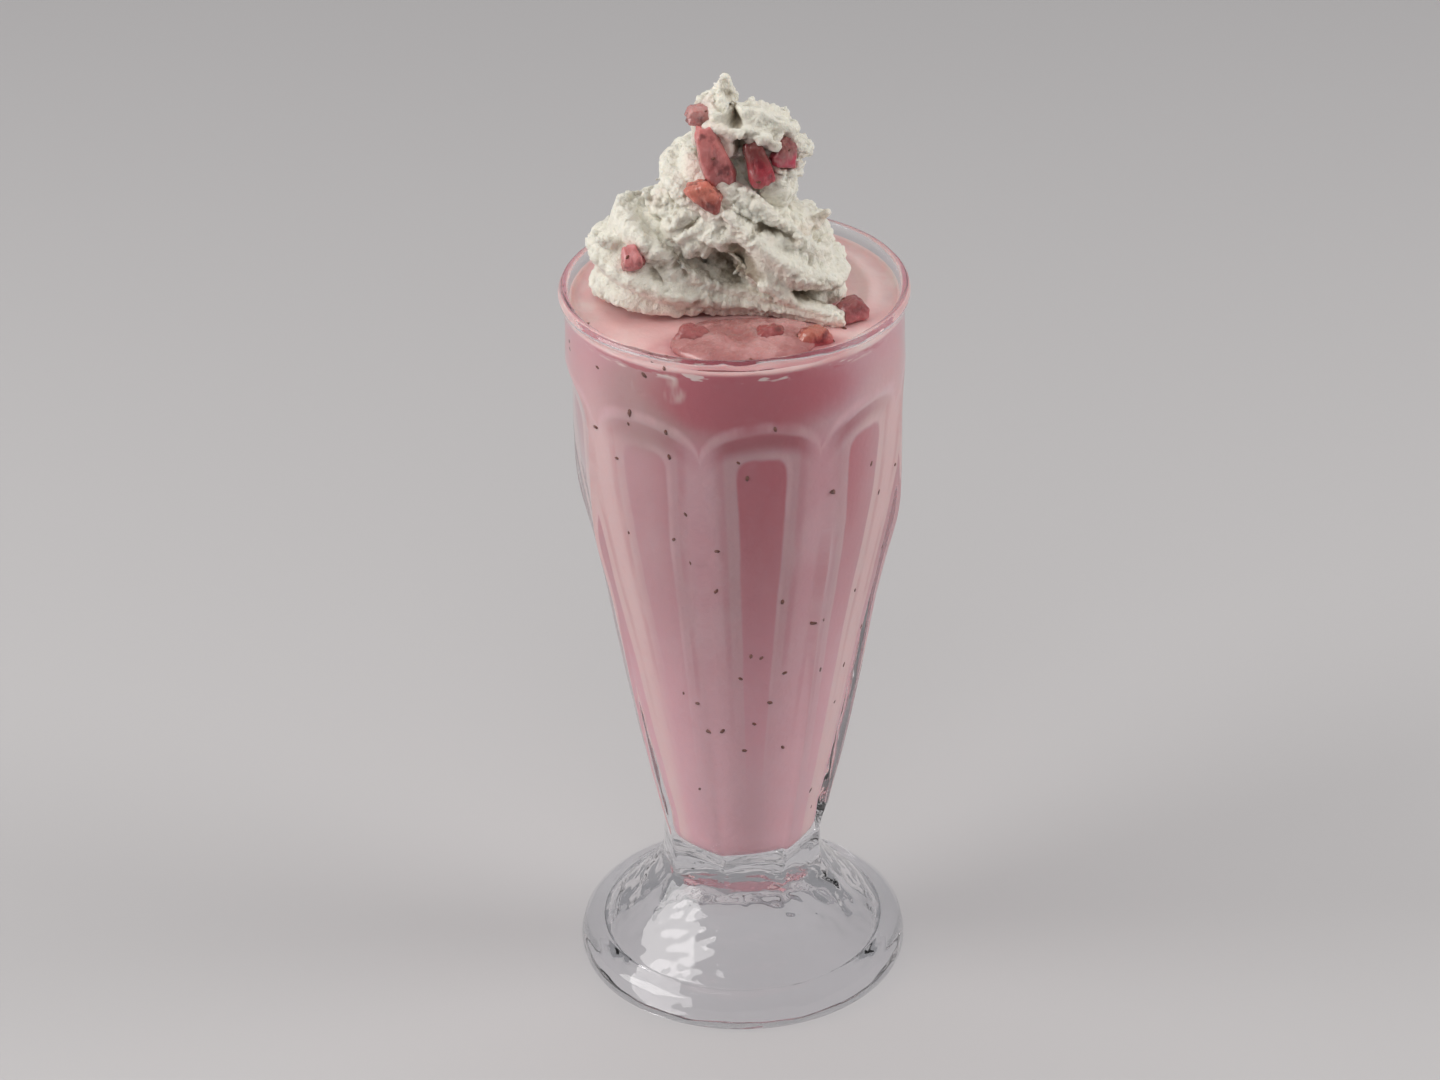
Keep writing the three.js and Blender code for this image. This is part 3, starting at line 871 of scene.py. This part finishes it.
class MILKSHAKE_OT_cream(bpy.types.Operator):
    """Pipes the whipped cream: a ridged rope coiled round a core, then torn and roughened"""

    bl_idname = "milkshake.cream"
    bl_label = "Whipped cream"

    def execute(self, context):
        cream = context.scene.milkshake_cream
        noise.seed_set(cream.seed)
        shell = bmesh.new()
        self.pipe(shell)
        self.fill(shell)
        remeshed(shell, cream.grain)
        smoothing = {"factor": 0.5, "use_axis_x": True, "use_axis_y": True, "use_axis_z": True}
        bmesh.ops.smooth_vert(shell, verts=shell.verts, **smoothing)
        hollow = shell.verts.layers.float.new("hollow")
        stained = shell.verts.layers.float.new("stained")
        for vertex in shell.verts:
            at = vertex.co / MM
            inward = Vector((CORE_AT[0] - at.x, CORE_AT[1] - at.y, 0)).normalized()
            depth = self.cleft(at)
            vertex.co += (inward * depth + self.pressed(at)) * MM
            vertex[hollow] = depth * 0.35
            vertex[stained] = self.stain(at)
        shell.normal_update()
        for vertex in shell.verts:
            height = self.torn(vertex.co / MM)
            vertex[hollow] -= height
            vertex.co += vertex.normal * height * cream.tearing
        floor = context.scene.milkshake_drink.level - 0.001
        whole = list(shell.verts) + list(shell.edges) + list(shell.faces)
        cut = bmesh.ops.bisect_plane(
            shell, geom=whole, plane_co=(0, 0, floor), plane_no=(0, 0, -1), clear_outer=True
        )
        rim = [e for e in cut["geom_cut"] if isinstance(e, bmesh.types.BMEdge)]
        bmesh.ops.holes_fill(shell, edges=rim)
        bmesh.ops.recalc_face_normals(shell, faces=shell.faces)
        look = material(
            "whipped_cream",
            cream_finish(cream.colour),
            Subsurface_Weight=0.3,
            Subsurface_Radius=(0.0014, 0.0012, 0.001),
            Subsurface_Scale=1.0,
        )
        finished(shell, "piped_cream", "whipped_cream", look)
        return {"FINISHED"}

    def pipe(self, shell):
        """Extrudes a star-shaped ring along the rope's path."""
        path = curve_through([p[:3] for p in ROPE], 6)
        radii = [p[0] for p in curve_through([(p[3], 0) for p in ROPE], 6)]
        ring = bmesh.ops.create_circle(shell, cap_ends=True, segments=48, radius=1)["verts"]
        flat = [v.co.copy() for v in ring]
        edges = list(shell.edges)
        for i, (at, radius) in enumerate(zip(path, radii)):
            along = (path[min(i + 1, len(path) - 1)] - path[max(i - 1, 0)]).normalized()
            side = along.cross((0, 0, 1)).normalized()
            up = side.cross(along)
            twist = 2 * math.pi * 3.4 * i / len(path)
            if i:
                made = bmesh.ops.extrude_edge_only(shell, edges=edges)["geom"]
                fresh = {v for v in made if isinstance(v, bmesh.types.BMVert)}
                edges = [e for e in made if isinstance(e, bmesh.types.BMEdge) and set(e.verts) <= fresh]
                ring = self.matching(ring, fresh)
            for vertex, rest in zip(ring, flat):
                angle = math.atan2(rest.y, rest.x)
                ridge = 1 + 0.17 * math.cos(7 * angle + twist) + 0.06 * math.cos(3 * angle - twist)
                reach = radius * max(ridge, 0.88)
                vertex.co = (at + side * rest.x * reach + up * rest.y * reach) * MM
        bmesh.ops.contextual_create(shell, geom=edges)
        bmesh.ops.recalc_face_normals(shell, faces=shell.faces)

    def matching(self, ring, fresh):
        """The new ring's points in the old ring's order."""
        return [next(e.other_vert(v) for e in v.link_edges if e.other_vert(v) in fresh) for v in ring]

    def fill(self, shell):
        """Adds the mound inside the coil, lumps between its turns and torn tips on it."""
        for x, y, z, radius in LUMPS:
            place = Matrix.Translation(Vector((x, y, z)) * MM)
            bmesh.ops.create_icosphere(shell, subdivisions=2, radius=radius * MM, matrix=place)
        chance = random.Random(3)
        tips = list(TIPS)
        for x, y, z, radius in ROPE[3:-2] * 5:
            turn, lift = chance.uniform(0, 2 * math.pi), chance.uniform(-0.2, 1)
            out = Vector((math.sin(turn), -math.cos(turn), lift)).normalized()
            foot = Vector((x, y, z)) + out * radius * 0.85
            lean = Vector([chance.uniform(-1, 1) for _ in range(3)])
            point = foot + (out + lean * 0.9) * chance.uniform(1.6, 3.4)
            tips.append((foot, point, chance.uniform(0.7, 1.5)))
        for foot, point, radius in tips:
            foot, point = Vector(foot), Vector(point)
            length = (point - foot).length
            lie = (point - foot).to_track_quat("Z", "Y").to_matrix().to_4x4()
            place = Matrix.Translation((foot + point) / 2 * MM) @ lie
            bmesh.ops.create_cone(
                shell,
                cap_ends=True,
                segments=9,
                radius1=radius * MM,
                radius2=0.25 * MM,
                depth=length * MM,
                matrix=place,
            )
        core = spun(CORE, 24, 0)
        bmesh.ops.translate(core, verts=core.verts, vec=(CORE_AT[0] * MM, CORE_AT[1] * MM, 0))
        mesh = bpy.data.meshes.new("core")
        core.to_mesh(mesh)
        core.free()
        shell.from_mesh(mesh)
        bpy.data.meshes.remove(mesh)

    def cleft(self, at):
        """How deep a cleft cuts in at a place, in mm."""
        deepest = 0
        for start, end, width, depth in CLEFTS:
            share = min(max(intersect_point_line(at, start, end)[1], 0), 1)
            away = (at - Vector(start).lerp(Vector(end), share)).length
            taper = 0.55 + 0.45 * math.sin(math.pi * share)
            deepest = max(deepest, depth * taper * (1 - smooth_step(away, width * 0.35, width * 1.6)))
        return deepest

    def pressed(self, at):
        """The move that seats a piece of fruit in the cream, in mm."""
        move = Vector()
        for centre, half, *_ in DICE:
            away = at - Vector(centre)
            reach = sum(half) / 3 + 0.9
            if away.length < reach * 1.7:
                out = Vector((centre[0] - CORE_AT[0], centre[1] - CORE_AT[1], 3)).normalized()
                over = away.dot(out) + 0.12 * reach
                if over > 0:
                    move -= out * over * (1 - smooth_step(away.length, reach * 0.75, reach * 1.5))
        return move

    def stain(self, at):
        """How much fruit and drink have coloured the cream at a place, from 0 to 1."""
        near = max(1 - smooth_step((at - Vector(d[0])).length - max(d[1]), -0.5, 2.5) for d in DICE)
        return max(0.35 * near, 0.3 * (1 - smooth_step(at.z, 184, 187)))

    def torn(self, at):
        """How far a place on the cream stands out, about -1 to 1: curds and crumbs, calm in places."""
        spot = at + noise.noise_vector(at * 0.14) * 2 + noise.noise_vector(at * 0.55) * 0.9
        calm = max(1 - smooth_step((at - Vector(s[:3])).length, s[3] * 0.5, s[3] * 1.2) for s in SMOOTH)
        rough = (1 - 0.8 * calm) * (0.35 + 0.65 * smooth_step(noise.noise(at * 0.1), -0.25, 0.25))
        folds = 1 - 2.2 * abs(noise.noise(spot * 0.24))
        curds = 0.5 - noise.voronoi(spot * 0.4)[0][0]
        crumbs = 0.45 - noise.voronoi(spot * 0.85)[0][0]
        return 0.45 * folds * (1 - 0.5 * calm) + rough * (0.9 * curds + 0.85 * crumbs)


class MILKSHAKE_OT_puree(bpy.types.Operator):
    """Pools strawberry puree in front of the cream"""

    bl_idname = "milkshake.puree"
    bl_label = "Strawberry puree"

    def execute(self, context):
        level = context.scene.milkshake_drink.level / MM
        shell = bmesh.new()
        bmesh.ops.create_grid(shell, x_segments=90, y_segments=40, size=1)
        for vertex in shell.verts:
            along, across = vertex.co.x, vertex.co.y
            at = Vector((along * 3, across * 1.5, 0))
            spread = math.sqrt(max(0, 1 - abs(along) ** 3))
            turn = math.radians(PUREE_TURN + PUREE_SPREAD * along + 4 * noise.noise(at))
            radius = PUREE_RADIUS + PUREE_HALF_WIDTH * across * spread
            edge = max(0, 1 - across * across) * spread
            lumps = 0.5 * noise.noise(at * 1.7) + 0.3 * noise.noise(at * 4)
            height = level - PUREE_SUNK + PUREE_THICKNESS * edge**0.3 + edge * lumps
            vertex.co = around(turn, radius * MM, height * MM)
        rim = [e for e in shell.edges if e.is_boundary]
        bmesh.ops.holes_fill(shell, edges=rim)
        bmesh.ops.recalc_face_normals(shell, faces=shell.faces)
        look = material(
            "strawberry_puree",
            puree_finish(context.scene.milkshake_fruit.puree),
            Subsurface_Weight=0.3,
            Subsurface_Radius=(0.003, 0.001, 0.0008),
            Subsurface_Scale=1.0,
            Coat_Weight=0.6,
        )
        finished(shell, "puree_pool", "strawberry_puree", look)
        return {"FINISHED"}


class MILKSHAKE_OT_fruit(bpy.types.Operator):
    """Dices strawberry over the cream and into the puree"""

    bl_idname = "milkshake.fruit"
    bl_label = "Diced strawberry"

    def execute(self, context):
        for number, (centre, half, tilt, top, bottom) in enumerate(DICE, 1):
            name = f"strawberry_{number}"
            shell = bmesh.new()
            bmesh.ops.create_cube(shell, size=2)
            bmesh.ops.subdivide_edges(shell, edges=shell.edges, cuts=13, use_grid_fill=True)
            shape = Matrix.LocRotScale(Vector(centre), Euler([math.radians(a) for a in tilt]), None)
            for vertex in shell.verts:
                vertex.co = shape @ self.diced(vertex.co, half, number + 10) * MM
            bmesh.ops.recalc_face_normals(shell, faces=shell.faces)
            look = material(
                name + "_flesh",
                fruit_finish(top, bottom, centre[2], max(half)),
                Subsurface_Weight=0.35,
                Subsurface_Radius=(0.002, 0.0006, 0.0005),
                Subsurface_Scale=1.0,
                Coat_Weight=0.6,
            )
            finished(shell, "diced_" + name, name, look)
        return {"FINISHED"}

    def diced(self, at, half, seed):
        """A point of the unit cube moved onto an uneven, round-cornered chunk, in mm."""
        power = sum(abs(c) ** 4 for c in at) ** -0.25
        at = at * power
        shift = Vector((seed * 1.7, seed * 0.9, seed * 2.3))
        lumps = 1 + 0.22 * noise.noise(at * 1.2 + shift) + 0.1 * noise.noise(at * 3.2 + shift)
        taper = 1 - 0.2 * at.z
        return Vector((at.x * half[0] * taper, at.y * half[1] * taper, at.z * half[2])) * lumps * 1.12


class MILKSHAKE_OT_seeds(bpy.types.Operator):
    """Scatters strawberry seeds over the drink, the puree and the fruit"""

    bl_idname = "milkshake.seeds"
    bl_label = "Seeds"

    def execute(self, context):
        chance = random.Random(5)
        shell = bmesh.new()
        count = context.scene.milkshake_drink.seeds
        self.scatter(shell, "milkshake_drink", count, chance, 0.6)
        self.scatter(shell, "puree_pool", 9, chance, 0.5)
        for number in range(1, len(DICE) + 1):
            self.scatter(shell, f"diced_strawberry_{number}", 4, chance, 0.42)
        bmesh.ops.recalc_face_normals(shell, faces=shell.faces)
        look = material("strawberry_seed", seed_finish(context.scene.milkshake_fruit.seed), Roughness=0.35)
        finished(shell, "strawberry_seeds", None, look)
        return {"FINISHED"}

    def scatter(self, shell, name, count, chance, size):
        """Lays seeds flat on a piece, at random places spread evenly by area."""
        mesh = bpy.data.objects[name].data
        faces = sorted(mesh.polygons, key=lambda face: sorted(face.vertices))
        weights = [face.area for face in faces]
        for face in chance.choices(faces, weights=weights, k=count):
            scale = size * chance.uniform(0.7, 1.25) * MM
            turn = Euler((0, 0, chance.uniform(0, 2 * math.pi))).to_matrix()
            lie = face.normal.to_track_quat("Z", "Y").to_matrix() @ turn
            shape = Matrix.Diagonal((scale * 0.8, scale * 1.35, scale * 0.55)).to_4x4()
            corner, *others = [mesh.vertices[i].co for i in sorted(face.vertices)[:3]]
            across, along = [(other - corner) * chance.random() * 0.5 for other in others]
            place = Matrix.Translation(corner + across + along) @ lie.to_4x4() @ shape
            bmesh.ops.create_icosphere(shell, subdivisions=1, radius=1, matrix=place)


class MILKSHAKE_OT_stage(bpy.types.Operator):
    """Sets the floor, the soft lamps and the camera"""

    bl_idname = "milkshake.stage"
    bl_label = "Stage"

    def execute(self, context):
        stage = context.scene.milkshake_stage
        shell = bmesh.new()
        bmesh.ops.create_circle(shell, cap_ends=True, segments=64, radius=6)
        mesh = bpy.data.meshes.new("floor")
        shell.to_mesh(mesh)
        shell.free()
        floor = bpy.data.objects.new("floor", mesh)
        context.scene.collection.objects.link(floor)

        mesh.materials.append(material("plain_floor", floor_finish(stage.floor), Roughness=0.7))
        for row in LAMPS:
            self.lamp(*row)
        self.surroundings(context)
        self.camera(context, stage)
        context.scene.view_settings.view_transform = "Standard"
        context.scene.cycles.use_denoising = True
        context.scene.cycles.caustics_reflective = False
        context.scene.cycles.caustics_refractive = False
        context.scene.cycles.max_bounces = 14
        context.scene.cycles.transmission_bounces = 12
        context.scene.cycles.transparent_max_bounces = 16
        return {"FINISHED"}

    def lamp(self, name, place, aim, size, power, gloss):
        light = bpy.data.lights.new(name, "AREA")
        light.shape = "RECTANGLE"
        light.size, light.size_y = size
        light.energy = power
        light.color = LAMP_COLOUR
        lamp = bpy.data.objects.new(name, light)
        lamp.location = place
        lamp.rotation_euler = (Vector(aim) - Vector(place)).to_track_quat("-Z", "Y").to_euler()
        lamp.visible_glossy = gloss
        lamp.visible_transmission = gloss
        bpy.context.scene.collection.objects.link(lamp)

    def surroundings(self, context):
        """A pale grey room, darker towards the camera."""
        world = bpy.data.worlds.new("studio")
        world.use_nodes = True
        context.scene.world = world
        shade = Shade(world.node_tree)
        at = shade.node("ShaderNodeTexCoord", {}, {}, "Generated")
        split = shade.node("ShaderNodeSeparateXYZ", {}, {"Vector": at}, "Y")
        colour = split.step(-0.9, 0.1).mix(ROOM_FRONT, ROOM_BACK)
        world.node_tree.links.new(colour.socket, world.node_tree.nodes["Background"].inputs["Color"])

    def camera(self, context, stage):
        """The photograph's viewpoint: level with a slight roll, looking down at the glass."""
        pitch, roll = stage.pitch, stage.roll
        ahead = Vector((0, math.cos(pitch), -math.sin(pitch)))
        level, upright = Vector((1, 0, 0)), Vector((0, math.sin(pitch), math.cos(pitch)))
        right = level * math.cos(roll) + upright * math.sin(roll)
        up = upright * math.cos(roll) - level * math.sin(roll)
        place = Vector(AIM) - ahead * stage.distance
        lens = bpy.data.cameras.new("camera")
        lens.lens = stage.lens
        lens.sensor_width = 36
        lens.clip_end = 50
        view = bpy.data.objects.new("camera", lens)
        view.matrix_world = Matrix.Translation(place) @ Matrix((right, up, -ahead)).transposed().to_4x4()
        context.scene.collection.objects.link(view)
        context.scene.camera = view


STEPS = [
    MILKSHAKE_OT_glass,
    MILKSHAKE_OT_drink,
    MILKSHAKE_OT_cream,
    MILKSHAKE_OT_puree,
    MILKSHAKE_OT_fruit,
    MILKSHAKE_OT_seeds,
    MILKSHAKE_OT_stage,
]


class MILKSHAKE_PT_panel(bpy.types.Panel):
    """Lists the pieces and their settings"""

    bl_idname = "MILKSHAKE_PT_panel"
    bl_label = "Strawberry milkshake"
    bl_space_type = "VIEW_3D"
    bl_region_type = "UI"
    bl_category = "Milkshake"

    def draw(self, context):
        for step in STEPS:
            self.layout.operator(step.bl_idname)
        for name in SETTINGS:
            box = self.layout.box()
            group = getattr(context.scene, name)
            for key in group.bl_rna.properties.keys():
                if key not in ("rna_type", "name"):
                    box.prop(group, key)


def register():
    for name, group in SETTINGS.items():
        bpy.utils.register_class(group)
        setattr(bpy.types.Scene, name, bpy.props.PointerProperty(type=group))
    for step in STEPS:
        bpy.utils.register_class(step)
    bpy.utils.register_class(MILKSHAKE_PT_panel)


def unregister():
    bpy.utils.unregister_class(MILKSHAKE_PT_panel)
    for step in reversed(STEPS):
        bpy.utils.unregister_class(step)
    for name, group in SETTINGS.items():
        delattr(bpy.types.Scene, name)
        bpy.utils.unregister_class(group)


def main():
    register()
    bpy.ops.milkshake.glass()
    bpy.ops.milkshake.drink()
    bpy.ops.milkshake.cream()
    bpy.ops.milkshake.puree()
    bpy.ops.milkshake.fruit()
    bpy.ops.milkshake.seeds()
    bpy.ops.milkshake.stage()


if __name__ == "__main__":
    main()
